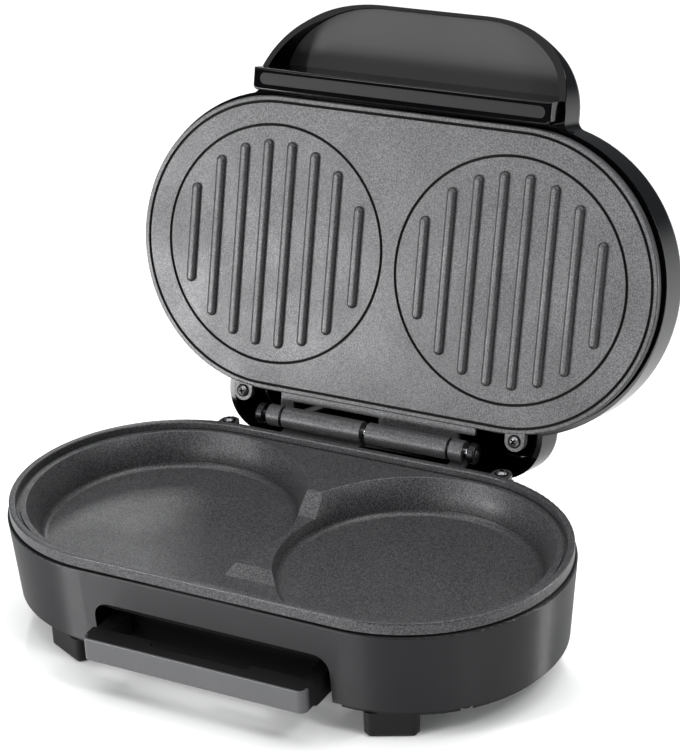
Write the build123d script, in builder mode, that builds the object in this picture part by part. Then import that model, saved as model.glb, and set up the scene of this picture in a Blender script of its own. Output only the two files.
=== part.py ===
"""Twin-cup breakfast sandwich maker, standing open.

Frame: millimetres, +X to the right, +Y to the back, +Z up, the table at Z = 0 and the
origin under the middle of the whole open appliance. The base is drawn on the plane `deck`, the
flat of the lower plate's rim. The lid is drawn on the plane `lid`, which carries the hinge
axis: its X runs along the hinge, its Y from the hinge to the handle and its normal points out
of the cooking face.
"""
import os
from math import atan, cos, degrees, radians, sin, sqrt

from build123d import *

# ---------------------------------------------------------------- driving dimensions
rim_height = 60.0          # lower rim above the table
lid_open = 104.4           # lid angle at rest, from flat

plate_half = 63.5          # both plates: half the straight run of the outline
plate_r = 72.3             # both plates: end radius of the outline
plate_wall = 3.0           # casting thickness
cup_side = 1.2             # cup and ring centres, in from the centres of the plates' ends
fit_gap = 0.3              # between a moulding and what it carries
square_on = 0.99           # cosine past which a face or an edge counts as square to a plane
seat_gap = 0.1             # between pieces that are screwed together

# lower plate
rim_width = 3.2
rim_fall = 4.0             # rim crest to the bottom of the drip groove
rim_soft = 0.7
groove_width = 1.9
land_drop = 3.0            # rim crest to the land round the cups
skirt_drop = 5.2           # rim crest to the underside of the rim
cup_inset = 6.8            # plate's edge to a cup's mouth
cup_flare = 4.5            # a cup's mouth to its waist
cup_foot_in = 1.0          # its waist to its floor
waist_drop = 12.2          # also the top of the divider between the cups
cup_depth = 19.5
cup_corner = 3.0
front_land_drop = 17.5
mouth_soft = 0.6           # soft edge round the cups' mouths and over the divider
ramp_foot = 20.0           # back end of the divider's level top
ramp_head = 29.5
nose_top = 30.0            # front end of the divider
nose_foot = 34.0
body_draft = 6.0

# hinge
hinge_reach = 9.55         # axis behind the lower plate's edge
hinge_rise = 3.13          # axis above the rim
pin_d = 4.0
pin_play = 0.1
barrel_r = 5.2
barrel_in = 1.5
barrel_out = 44.0
lug_in = 45.5
lug_out = 52.3
clip_in = 54.8
clip_thick = 3.6
web_thick = 2.9
web_half = 2.5             # half the neck between a barrel and its web
flange_low = 6.6           # lower edge of the lid plate's flange, above the axis
flange_step = 0.8          # flange behind the lid plate's face

# base housing
lip_drop = 6.4
lip_over = 0.6             # housing lip beyond the plate's rim
lip_soft = 0.8
ledge_bite = 1.9           # ledge under the plate's collar
ledge_thick = 2.6
housing_side = 0.7         # end centres of the housing, beyond the plate's
housing_depth = 38.3
housing_taper = 3.2
housing_wall = 2.5
hinge_deck_side = 16.5     # block under the hinge, beyond the plate's end centres
hinge_deck_over = 2.15     # and behind the axis
hinge_deck_round = 9.0
recess_half = 59.0
recess_round = 8.0
recess_inset = 14.3        # plate's edge to the back wall of the finger recess
hood_room = 2.0            # under the plate, over the recess's ceiling
hood_drop = 5.4            # slope of that ceiling
hood_deep = 5.3

# bottom cover and feet
cover_rise = 3.0
cover_drop = 3.0
cover_floor = 2.2
vent_count = 9
vent_pitch = 7.0
vent_y = 24.0
vent_long = 26.0
vent_wide = 2.6
foot_long = 24.0
foot_wide = 15.0
foot_round = 3.2
foot_turn = 25.0
foot_side = 16.9           # feet, beyond the plate's end centres
foot_inset = 16.0          # and in from its long edges
foot_soft = 0.8
pad_thick = 1.2
pad_inset = 1.4

# grip bar
bar_half = 55.5
bar_reach = 15.7           # its front, beyond the plate's edge
bar_rise = 3.5             # above the housing's lower edge
bar_height = 10.7
bar_depth = 10.4
bar_round = 3.5
trim_thick = 1.4
notch_half = 22.0
notch_depth = 4.0
notch_flank = 76.0         # slope of the notch's ends
arm_width = 7.0
arm_rise = 1.5             # arms above that edge, and below the bar's top
arm_round = 8.0
trim_wrap = 4.6
trim_soft = 0.5
bar_wall = 2.2

# lid plate
field_drop = 9.0           # its flat, beyond the hinge axis
lid_plate_thick = 3.4
ring_inset = 13.9          # plate's edge to the ring groove
ring_width = 1.3
ring_depth = 1.3
edge_groove_inset = 2.9
rib_count = 8
rib_width = 4.8
rib_height = 2.3
rib_soft = 1.9
rib_clear = 7.05           # ring groove to the ends of the ribs
lid_screw_up = 7.2
lid_lug_drop = 8.2
lid_boss_r = 3.3

# lid housing
lid_side = 0.5             # end centres of the lid, beyond the plate's
lid_over = 1.7             # lid's edge beyond the plate's
lid_lip = 15.0             # its lip, beyond the hinge axis
lid_back = 41.0
lid_wall = 2.6
lid_dome = 8.0
tail_side = 21.0           # lid's tail, beyond the plate's end centres
tail_shoulder = 8.0
tail_knee_in = 4.5
tail_knee = 5.5
tail_tip_in = 18.5
tail_reach = 13.5
stop_x = 60.0
stop_wide = 5.0
stop_deep = 4.6

# lid handle
handle_side = 16.0         # its sides, beyond the lid's end centres
handle_straight = 3.85     # straight part of its sides, above the ledge's foot
handle_rise = 42.0         # its top, above the straight part
handle_side_r = 36.0       # rounding of its sides, and how far it turns
handle_turn = 50.0
handle_rim = 16.0          # front edge at the ledge, beyond the hinge axis
handle_tip = 38.0          # front edge at the top
handle_root = 4.0          # round where the handle meets the lid
handle_wall = 3.2
handle_soft = 0.7
lean_least = 0.5           # cosine past which its leaning front counts as facing forward
handle_floor = 37.0
panel_thick = 1.4
ledge_in = 2.5             # ends of the ledge, in from the handle's sides
ledge_tall = 10.85
ledge_face = 4.5
ledge_round = 2.5
ledge_soft = 1.0
ledge_wall = 2.4
skirt_thick = 3.0
band_in = 3.0              # ends of the band, in from the ledge's
band_up = 2.85
band_tall = 5.8
band_sink = 0.6
band_thick = 1.4

# heating and electrics
element_d = 6.5
element_in = 20.0          # its long runs, in from the cups' floors
element_bend_share = 0.9   # bend radius as a share of the runs' distance
element_run = 4.5          # straight run beyond the middle of each clamp
terminal_x = 14.0
terminal_out = 16.0
terminal_bend = 9.0
cold_pin_d = 3.2
cold_pin_long = 7.0
clamp_wide = 8.0
clamp_thick = 1.2
clamp_foot = 8.5
reflector_thick = 0.8
reflector_out = 10.0
reflector_lip = 4.0
reflector_room = 2.5
post_r = 3.6
post_hole = 7.0
lens_x = 9.0
lens_d = 7.0
lens_above = 36.15         # above the middle of the lid
lens_flange = 0.8
lens_proud = 1.2
lens_soft = 0.95
lamp_d = 5.0
lamp_long = 8.0
holder_half = 21.0
holder_wide = 9.0
holder_foot = 4.0
thermo_x = 31.0
thermo_reach = 11.0
thermo_wide = 9.0
thermo_r = 7.5
thermo_high = 7.0
fuse_r = 2.0
fuse_long = 14.0
terminal_wide = 32.0
terminal_deep = 12.0
terminal_high = 12.0
terminal_left = 26.0       # its middle, left of the middle of the plate
terminal_gap = 1.5         # behind the reflector
terminal_pitch = 10.0
terminal_count = 3
terminal_hole = 4.2
bush_x = 40.0
bush_drop = 34.0
bush_neck_r = 4.5
bush_flange_r = 7.0
bush_nut_r = 6.0           # ring that holds it inside the wall
bush_hole_r = 3.2
bush_long = 14.0

# fasteners
screw_d = 3.0
screw_long = 9.0
screw_head_d = 6.6
screw_head_h = 1.8
cross_long = 3.8
cross_wide = 1.0
head_soft = 0.7
screw_side = 9.7           # visible screws, beyond the plate's end centres
screw_behind = 4.5         # lower ones, behind the plate's edge
lug_r = 4.9
lug_drop = 2.0

# ---------------------------------------------------------------- frames
fall = radians(lid_open)
cup_x = plate_half - cup_side
cup_mouth_r = plate_r - cup_inset
cup_waist_r = cup_mouth_r - cup_flare
cup_foot_r = cup_waist_r - cup_foot_in
hinge_back = plate_r + hinge_reach
lid_plate_mid = hinge_back
lid_half = plate_half + lid_side
lid_r = plate_r + lid_over
ledge_low = lid_plate_mid + lid_r + fit_gap
handle_shoulder = ledge_low + handle_straight
handle_end = handle_shoulder + handle_rise
bar_front = plate_r + bar_reach
handle_rear = (hinge_back - (handle_end - lid_dome) * cos(fall)
               + (lid_back - lid_dome) * sin(fall) + lid_dome)
deck_y = (bar_front - handle_rear) / 2
deck = Plane(origin=(0, deck_y, rim_height))
side = Plane(origin=(0, deck_y, rim_height), x_dir=(0, 1, 0), z_dir=(1, 0, 0))
hinge_point = Vector(0, deck_y + hinge_back, rim_height + hinge_rise)
lid = Plane(origin=hinge_point, x_dir=(1, 0, 0), z_dir=(0, -sin(fall), -cos(fall)))
lid_side = Plane(origin=hinge_point, x_dir=(0, -cos(fall), sin(fall)), z_dir=(1, 0, 0))

# worked-out levels that several pieces share
screw_x = plate_half + screw_side
screw_back = plate_r + screw_behind
housing_half = plate_half + housing_side
hinge_deck_half = plate_half + hinge_deck_side
hinge_deck_back = hinge_back + hinge_deck_over
recess_back = plate_r - recess_inset
foot_x = plate_half + foot_side
foot_y = plate_r - foot_inset
ring_r = plate_r - ring_inset
rib_reach = ring_r - rib_clear
rib_pitch = 2 * rib_reach / rib_count
edge_groove_r = plate_r - edge_groove_inset
element_r = cup_foot_r - element_in
element_bend = element_r * element_bend_share
element_end = cup_x + element_run + element_bend
terminal_back = element_r + terminal_out
reflector_r = element_r + reflector_out
terminal_at = (-terminal_left, reflector_r + terminal_gap + terminal_deep / 2)
tail_half = plate_half + tail_side
tail_knee_half = tail_half - tail_knee_in
tail_tip_half = tail_half - tail_tip_in
handle_half = lid_half + handle_side
handle_turned = sin(radians(handle_turn))
handle_top_r = (handle_rise - handle_side_r * handle_turned) / (1 - handle_turned)
handle_top_x = handle_half - handle_side_r - (handle_top_r - handle_side_r) * cos(radians(handle_turn))
ledge_half = handle_half - ledge_in
ledge_high = ledge_low + ledge_tall
band_half = ledge_half - band_in
band_mid = ledge_low + band_up + band_tall / 2
lens_up = lid_plate_mid + lens_above
groove_out_r = plate_r - rim_width
groove_in_r = groove_out_r - groove_width
collar_r = groove_in_r + plate_wall - fit_gap
collar_drop = skirt_drop + plate_wall
plate_under = cup_depth + plate_wall
bore_r = pin_d / 2 + pin_play / 2
screw_bore_r = screw_d / 2 + seat_gap / 2
post_height = element_d + seat_gap + reflector_room
clamp_screw_y = element_r - clamp_foot
post_places = ((0, -ramp_foot), (0, ramp_foot), (-cup_x, 0), (cup_x, 0))
housing_draft = degrees(atan(housing_taper / housing_depth))
housing_bottom = lip_drop + housing_depth
housing_foot_r = plate_r + lip_over - housing_taper
cover_r = housing_foot_r - housing_wall - fit_gap
cover_under = housing_bottom + cover_drop
cover_post_at = (housing_foot_r - housing_wall / 2 - post_r) * sqrt(0.5)
cover_screw_places = [(x * (housing_half + cover_post_at), y * cover_post_at)
                      for x in (-1, 1) for y in (-1, 1)]
foot_places = [Location((x * foot_x, y * foot_y, 0), (0, 0, x * y * -foot_turn))
               for x in (-1, 1) for y in (-1, 1)]
foot_height = rim_height - cover_under - pad_thick
arm_x = bar_half - arm_width / 2
bar_top = housing_bottom - bar_rise - bar_height
arm_low = housing_bottom - arm_rise
arm_high = bar_top + arm_rise
arm_mid = (bar_top + arm_low) / 2
hood_low = plate_under + housing_wall + hood_room
recess_top = hood_low - hood_drop
lid_middle = lid.from_local_coords(Vector(0, lid_plate_mid, 0))
lid_mid = Plane(origin=lid_middle, x_dir=(-1, 0, 0), z_dir=lid.z_dir)

lower_back = deck.offset(-plate_under)
upper_back = lid_mid.offset(-field_drop - lid_plate_thick)
clamp_places = [(x * cup_x, y * element_r) for x in (-1, 1) for y in (-1, 1)]
inner_screw_places = ([(x * cup_x, y * clamp_screw_y) for x in (-1, 1) for y in (-1, 1)]
                      + [(thermo_x - thermo_reach, 0), (thermo_x + thermo_reach, 0)])
rear_screw_places = ((-screw_x, screw_back), (screw_x, screw_back))
lid_screw_places = ((-screw_x, lid_screw_up), (screw_x, lid_screw_up))
arm_screw_places = ((-arm_x, -arm_mid), (arm_x, -arm_mid))
inner_hole = plate_wall / 2
lid_floor = lid_back - lid_wall
boss_top = field_drop + lid_plate_thick + seat_gap
lens_places = ((-lens_x, lens_up), (lens_x, lens_up))
stop_face = (hinge_deck_back - hinge_back + fit_gap - tail_reach * cos(fall)) / sin(fall)

os.makedirs("parts", exist_ok=True)


def save(part, name):
    """Label a finished piece and write its STEP file."""
    part.label = name
    export_step(part, f"parts/{name}.step")


def flipped(plane):
    """The same plane seen from its other side."""
    return Plane(origin=plane.origin, x_dir=plane.x_dir, z_dir=-plane.z_dir)


def screw_group(name, plane, places, shank):
    """Round-head cross screws: heads stand on a plane and shanks run down into it."""
    with BuildPart() as screws:
        with BuildSketch(plane):
            with Locations(*places):
                Circle(screw_head_d / 2)
        extrude(amount=screw_head_h)
        tops = screws.faces().filter_by(lambda face: face.normal_at().dot(plane.z_dir) > square_on)
        fillet(tops.edges(), radius=head_soft)
        with BuildSketch(plane):
            with Locations(*places):
                Circle(screw_d / 2)
        extrude(amount=-shank)
        with BuildSketch(plane.offset(screw_head_h)):
            with Locations(*places):
                Rectangle(cross_long, cross_wide)
                Rectangle(cross_wide, cross_long)
        extrude(amount=-screw_head_h / 2, mode=Mode.SUBTRACT)
    save(screws.part, name)


def front_plane(back):
    """Upright plane facing the front, a distance behind the middle of the cups."""
    return Plane(origin=(0, deck_y + back, rim_height), x_dir=(1, 0, 0), z_dir=(0, -1, 0))


# ---------------------------------------------------------------- lower cooking plate
with BuildPart() as cup_form:
    with BuildSketch(Plane.XZ):
        with BuildLine():
            floor = Line((0, -cup_depth), (cup_foot_r - cup_corner, -cup_depth))
            corner = TangentArc(floor @ 1, (cup_foot_r, -cup_depth + cup_corner), tangent=floor % 1)
            wall = ThreePointArc(corner @ 1, (cup_waist_r, -waist_drop), (cup_mouth_r, -land_drop))
            Polyline(wall @ 1, (cup_mouth_r, 0), (0, 0), floor @ 0)
        make_face()
    revolve(axis=Axis.Z)

with BuildPart() as lower_plate:
    # rim and its skirt
    with BuildSketch(deck):
        SlotCenterToCenter(2 * plate_half, 2 * plate_r)
    extrude(amount=-skirt_drop)
    # step from the rim crest down to the land, and the drip groove round it
    with BuildSketch(deck):
        SlotCenterToCenter(2 * plate_half, 2 * groove_out_r)
    extrude(amount=-land_drop, mode=Mode.SUBTRACT)
    with BuildSketch(deck.offset(-land_drop)):
        SlotCenterToCenter(2 * plate_half, 2 * groove_out_r)
        SlotCenterToCenter(2 * plate_half, 2 * groove_in_r, mode=Mode.SUBTRACT)
    extrude(amount=land_drop - rim_fall, mode=Mode.SUBTRACT)
    crest = lower_plate.faces().filter_by(Axis.Z).sort_by(Axis.Z)[-1]
    fillet(crest.edges(), radius=rim_soft)
    # collar that sits on the housing's ledge, and the body that hangs below it
    with BuildSketch(deck.offset(-skirt_drop)):
        SlotCenterToCenter(2 * plate_half, 2 * collar_r)
    extrude(amount=-plate_wall)
    with BuildSketch(deck.offset(-skirt_drop)):
        with Locations((-cup_x, 0), (cup_x, 0)):
            Circle(cup_waist_r + 2 * plate_wall)
        Rectangle(2 * cup_x, 2 * (cup_waist_r + 2 * plate_wall))
    extrude(amount=skirt_drop - plate_under, taper=body_draft)
    # hollow between the cups: back ramp, level divider, nose and low front land
    with BuildSketch(side.offset(-cup_x)):
        with BuildLine():
            crown = Polyline((ramp_head, 0), (ramp_head, -land_drop), (ramp_foot, -waist_drop),
                             (-nose_top, -waist_drop), (-nose_foot, -front_land_drop),
                             (-cup_foot_r, -front_land_drop))
            front_wall = ThreePointArc(crown @ 1, (-cup_waist_r, -waist_drop), (-cup_mouth_r, -land_drop))
            Polyline(front_wall @ 1, (-cup_mouth_r, 0), crown @ 0)
        make_face()
    extrude(amount=2 * cup_x, mode=Mode.SUBTRACT)
    with Locations((-cup_x, deck_y, rim_height), (cup_x, deck_y, rim_height)):
        add(cup_form.part, mode=Mode.SUBTRACT)
    mouths = lower_plate.edges().filter_by(
        lambda edge: edge.geom_type == GeomType.CIRCLE and abs(edge.radius - cup_mouth_r) < seat_gap)
    fillet(mouths, radius=mouth_soft)
    # hinge barrel on the left, its lug on the right, and the web from each to the rim
    for near, far in ((-barrel_out, -barrel_in), (lug_in, lug_out)):
        with BuildSketch(side.offset(near)):
            with Locations((hinge_back, hinge_rise)):
                Circle(barrel_r)
            with BuildLine():
                Polyline((plate_r - rim_soft, -skirt_drop), (hinge_back + web_half, -skirt_drop),
                         (hinge_back + web_half, hinge_rise), (hinge_back - web_half, hinge_rise),
                         (hinge_back - web_half, -skirt_drop + web_thick),
                         (plate_r - rim_soft, -skirt_drop + web_thick), close=True)
            make_face()
        extrude(amount=far - near)
    with BuildSketch(side.offset(-barrel_out)):
        with Locations((hinge_back, hinge_rise)):
            Circle(bore_r)
    extrude(amount=barrel_out + lug_out, mode=Mode.SUBTRACT)
    # rear screw lugs
    with BuildSketch(deck.offset(-lug_drop)):
        with Locations(*rear_screw_places):
            Circle(lug_r)
        with Locations((-screw_x, screw_back - lug_r), (screw_x, screw_back - lug_r)):
            Rectangle(2 * lug_r, 2 * lug_r)
        SlotCenterToCenter(2 * plate_half, 2 * (plate_r - rim_soft), mode=Mode.SUBTRACT)
    extrude(amount=lug_drop - skirt_drop)
    with BuildSketch(deck.offset(-lug_drop)):
        with Locations(*rear_screw_places):
            Circle(screw_bore_r)
    extrude(amount=lug_drop - skirt_drop, mode=Mode.SUBTRACT)
    # posts for the reflector, and blind holes for the inner screws
    with BuildSketch(deck.offset(-plate_under)):
        with Locations(*post_places):
            Circle(post_r)
    extrude(amount=-post_height)
    with BuildSketch(lower_back):
        with Locations(*inner_screw_places):
            Circle(screw_bore_r)
    extrude(amount=inner_hole, mode=Mode.SUBTRACT)
    with BuildSketch(deck.offset(-plate_under - post_height)):
        with Locations(*post_places):
            Circle(screw_bore_r)
    extrude(amount=post_hole, mode=Mode.SUBTRACT)
save(lower_plate.part, "lower_plate")

# ---------------------------------------------------------------- base housing
lip_r = plate_r + lip_over
hood_back = lip_r - housing_taper / 2 - hood_deep
with BuildPart() as finger_recess:
    with BuildSketch(front_plane(-recess_back)):
        with Locations((0, -recess_top - housing_depth / 2)):
            RectangleRounded(2 * recess_half, housing_depth, recess_round)
    extrude(amount=bar_front - recess_back)
    with BuildSketch(side.offset(-recess_half)):
        with BuildLine():
            Polyline((-recess_back, -recess_top), (-recess_back, -hood_low), (-hood_back, -hood_low),
                     (-hood_back - hood_deep, -recess_top), close=True)
        make_face()
    extrude(amount=2 * recess_half, mode=Mode.SUBTRACT)

with BuildPart() as base_housing:
    with BuildSketch(deck.offset(-lip_drop)):
        SlotCenterToCenter(2 * housing_half, 2 * lip_r)
    extrude(amount=-housing_depth, taper=housing_draft)
    # block behind the plate, under the hinge
    with BuildSketch(deck.offset(-lip_drop)):
        with Locations((0, hinge_deck_back / 2)):
            RectangleRounded(2 * hinge_deck_half, hinge_deck_back, hinge_deck_round)
    extrude(amount=-housing_depth)
    outer_lip = base_housing.faces().filter_by(Axis.Z).sort_by(Axis.Z)[-1]
    fillet(outer_lip.edges(), radius=lip_soft)
    # hollow: a seat for the plate's collar, then wide below the ledge
    with BuildSketch(deck.offset(-lip_drop)):
        SlotCenterToCenter(2 * plate_half, 2 * (collar_r + fit_gap))
    extrude(amount=lip_drop - collar_drop - seat_gap, mode=Mode.SUBTRACT)
    with BuildSketch(deck.offset(-lip_drop)):
        SlotCenterToCenter(2 * plate_half, 2 * (collar_r - ledge_bite))
    extrude(amount=-2 * ledge_thick - collar_drop + lip_drop, mode=Mode.SUBTRACT)
    with BuildSketch(deck.offset(-collar_drop - ledge_thick)):
        SlotCenterToCenter(2 * housing_half, 2 * (lip_r - housing_wall))
    extrude(amount=collar_drop + ledge_thick - housing_bottom, taper=housing_draft, mode=Mode.SUBTRACT)
    with BuildSketch(deck.offset(-collar_drop - ledge_thick)):
        with Locations((0, (hinge_deck_back - housing_wall) / 2)):
            RectangleRounded(2 * (hinge_deck_half - housing_wall), hinge_deck_back - housing_wall,
                             hinge_deck_round - housing_wall)
    extrude(amount=collar_drop + ledge_thick - housing_bottom, mode=Mode.SUBTRACT)
    # finger recess in the front wall, closed behind, with a sloping ceiling
    with BuildSketch(side.offset(-recess_half - housing_wall)):
        with BuildLine():
            Polyline((-recess_back + housing_wall, -cover_under),
                     (-recess_back + housing_wall, -hood_low + housing_wall),
                     (-hood_back + housing_wall / 2, -hood_low + housing_wall),
                     (-housing_foot_r + housing_wall / 2, -recess_top + housing_wall / 2),
                     (-housing_foot_r + housing_wall / 2, -housing_bottom),
                     (-recess_back, -housing_bottom), (-recess_back, -cover_under), close=True)
        make_face()
    extrude(amount=2 * (recess_half + housing_wall))
    add(finger_recess.part, mode=Mode.SUBTRACT)
    # posts for the bottom cover's screws
    with BuildSketch(deck.offset(-housing_bottom + cover_rise)):
        with Locations(*cover_screw_places):
            Circle(post_r)
    extrude(amount=housing_bottom - cover_rise - plate_under - seat_gap)
    # bosses under the plate's rear lugs
    with BuildSketch(deck.offset(-lip_drop)):
        with Locations(*rear_screw_places):
            Circle(lug_r)
    extrude(amount=lip_drop - skirt_drop - seat_gap)
    with BuildSketch(deck.offset(-skirt_drop - seat_gap)):
        with Locations(*rear_screw_places):
            Circle(screw_bore_r)
    extrude(amount=-screw_long, mode=Mode.SUBTRACT)
    # pilot holes for the cover and grip screws, and the cord bush's hole
    with BuildSketch(deck.offset(-housing_bottom + cover_rise)):
        with Locations(*cover_screw_places):
            Circle(screw_bore_r)
    extrude(amount=screw_long, mode=Mode.SUBTRACT)
    with BuildSketch(front_plane(-recess_back)):
        with Locations(*arm_screw_places):
            Circle(screw_bore_r)
    extrude(amount=-2 * housing_wall, mode=Mode.SUBTRACT)
    with BuildSketch(front_plane(hinge_deck_back)):
        with Locations((bush_x, -bush_drop)):
            Circle(bush_neck_r + seat_gap)
    extrude(amount=2 * housing_wall, mode=Mode.SUBTRACT)
save(base_housing.part, "base_housing")

# ---------------------------------------------------------------- bottom cover and feet
cover_back = hinge_deck_back - housing_wall - fit_gap
with BuildPart() as bottom_cover:
    with BuildSketch(deck.offset(-cover_under)) as cover_outline:
        SlotCenterToCenter(2 * housing_half, 2 * cover_r)
        with Locations((0, cover_back / 2)):
            RectangleRounded(2 * (hinge_deck_half - housing_wall - fit_gap), cover_back,
                             hinge_deck_round - housing_wall)
        with Locations((0, -housing_half)):
            Rectangle(2 * (recess_half + housing_wall + fit_gap),
                      2 * (housing_half - recess_back + housing_wall + fit_gap), mode=Mode.SUBTRACT)
    extrude(amount=cover_drop + cover_rise - seat_gap)
    with BuildSketch(deck.offset(-cover_under + cover_floor)):
        add(offset(cover_outline.face(), amount=-cover_floor, mode=Mode.PRIVATE))
        with Locations(*cover_screw_places):
            Circle(post_r, mode=Mode.SUBTRACT)
    extrude(amount=cover_drop + cover_rise, mode=Mode.SUBTRACT)
    # screw holes and rows of vent slots
    with BuildSketch(deck.offset(-cover_under)):
        with Locations(*cover_screw_places):
            Circle(screw_bore_r + seat_gap)
        with GridLocations(vent_pitch, 2 * vent_y, vent_count, 2):
            SlotOverall(vent_long, vent_wide, rotation=90)
    extrude(amount=cover_drop + cover_rise, mode=Mode.SUBTRACT)
    with BuildSketch(deck.offset(-cover_under)):
        with Locations(*cover_screw_places):
            Circle(screw_head_d / 2 + seat_gap)
    extrude(amount=screw_head_h, mode=Mode.SUBTRACT)
save(bottom_cover.part, "bottom_cover")

with BuildPart() as feet:
    with BuildSketch(deck.offset(-cover_under)):
        with Locations(*foot_places):
            RectangleRounded(foot_long, foot_wide, foot_round)
    extrude(amount=-foot_height)
    fillet(feet.faces().filter_by(Axis.Z).group_by(Axis.Z)[0].edges(), radius=foot_soft)
save(feet.part, "feet")

with BuildPart() as foot_pads:
    with BuildSketch(deck.offset(-cover_under - foot_height)):
        with Locations(*foot_places):
            RectangleRounded(foot_long - 2 * pad_inset, foot_wide - 2 * pad_inset, foot_round - pad_inset)
    extrude(amount=-pad_thick)
save(foot_pads.part, "foot_pads")

# ---------------------------------------------------------------- grip bar across the front
with BuildPart() as grip_bar:
    with BuildSketch(deck.offset(-bar_top)):
        with Locations((0, -bar_front + trim_thick + seat_gap + bar_depth / 2)):
            RectangleRounded(2 * (bar_half - trim_thick - seat_gap), bar_depth, bar_round - trim_thick)
        with Locations((0, -bar_front + bar_depth)):
            Rectangle(2 * bar_half, 2 * (bar_depth - trim_wrap - seat_gap))
        with Locations((0, -bar_front + 3 * bar_depth / 2)):
            Rectangle(2 * bar_half, bar_depth, mode=Mode.SUBTRACT)
        with Locations((0, -bar_front + bar_depth)):
            Trapezoid(2 * (notch_half + notch_depth), 2 * notch_depth, notch_flank, rotation=180,
                      mode=Mode.SUBTRACT)
    extrude(amount=-bar_height)
    # arms that reach back into the recess
    for x in (-arm_x, arm_x):
        with BuildSketch(side.offset(x)) as arm_outline:
            with Locations((-(bar_front - bar_depth / 2 + recess_back + seat_gap) / 2,
                            -(arm_high + arm_low) / 2)):
                Rectangle(bar_front - bar_depth / 2 - recess_back - seat_gap, arm_low - arm_high)
            fillet(arm_outline.vertices().group_by(Axis.Y)[0].sort_by(Axis.X)[0], radius=arm_round)
        extrude(amount=arm_width / 2, both=True)
    # hollow underside
    with BuildSketch(deck.offset(-bar_top - bar_height)):
        with Locations((0, -bar_front + trim_thick + (bar_depth - notch_depth) / 2)):
            RectangleRounded(2 * (arm_x - arm_width / 2 - bar_wall),
                             bar_depth - notch_depth - trim_thick - bar_wall, bar_wall / 2)
    extrude(amount=bar_height - bar_wall, mode=Mode.SUBTRACT)
    with BuildSketch(front_plane(-recess_back - seat_gap)):
        with Locations(*arm_screw_places):
            Circle(screw_bore_r)
    extrude(amount=screw_long, mode=Mode.SUBTRACT)
save(grip_bar.part, "grip_bar")

with BuildPart() as grip_bar_trim:
    with BuildSketch(deck.offset(-bar_top)):
        with Locations((0, -bar_front + bar_depth / 2)):
            RectangleRounded(2 * bar_half, bar_depth, bar_round)
        with Locations((0, -bar_front + trim_thick + bar_depth / 2)):
            RectangleRounded(2 * (bar_half - trim_thick), bar_depth, bar_round - trim_thick,
                             mode=Mode.SUBTRACT)
        with Locations((0, -bar_front + trim_wrap + bar_depth / 2)):
            Rectangle(2 * bar_half, bar_depth, mode=Mode.SUBTRACT)
    extrude(amount=-bar_height)
    fillet(grip_bar_trim.faces().sort_by(Axis.Z)[-1].edges(), radius=trim_soft)
save(grip_bar_trim.part, "grip_bar_trim")

# ---------------------------------------------------------------- hinge pin and its clips
pin_end = clip_in + clip_thick + seat_gap
with BuildPart() as hinge_pin:
    with BuildSketch(lid_side.offset(-pin_end)):
        Circle(pin_d / 2)
    extrude(amount=2 * pin_end)
    chamfer(hinge_pin.faces().filter_by(Axis.X).edges(), length=pin_d / 8)
save(hinge_pin.part, "hinge_pin")

with BuildPart() as pin_clips:
    for near in (-clip_in - clip_thick, clip_in):
        with BuildSketch(lid_side.offset(near)):
            Circle(barrel_r - fit_gap)
            Circle(bore_r, mode=Mode.SUBTRACT)
        extrude(amount=clip_thick)
    fillet(pin_clips.edges().filter_by(GeomType.CIRCLE).group_by(SortBy.RADIUS)[-1], radius=head_soft)
save(pin_clips.part, "pin_clips")

# ---------------------------------------------------------------- lid plate
with BuildPart() as rib_bank:
    with BuildSketch():
        for cup in (-cup_x, cup_x):
            for index in range(rib_count):
                offset_x = (index - (rib_count - 1) / 2) * rib_pitch
                rib_long = 2 * sqrt(rib_reach ** 2 - offset_x ** 2)
                with Locations((cup + offset_x, 0)):
                    SlotOverall(rib_long, rib_width, rotation=90)
    extrude(amount=rib_height)
    fillet(rib_bank.faces().filter_by(Axis.Z).group_by(Axis.Z)[-1].edges(), radius=rib_soft)

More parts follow.
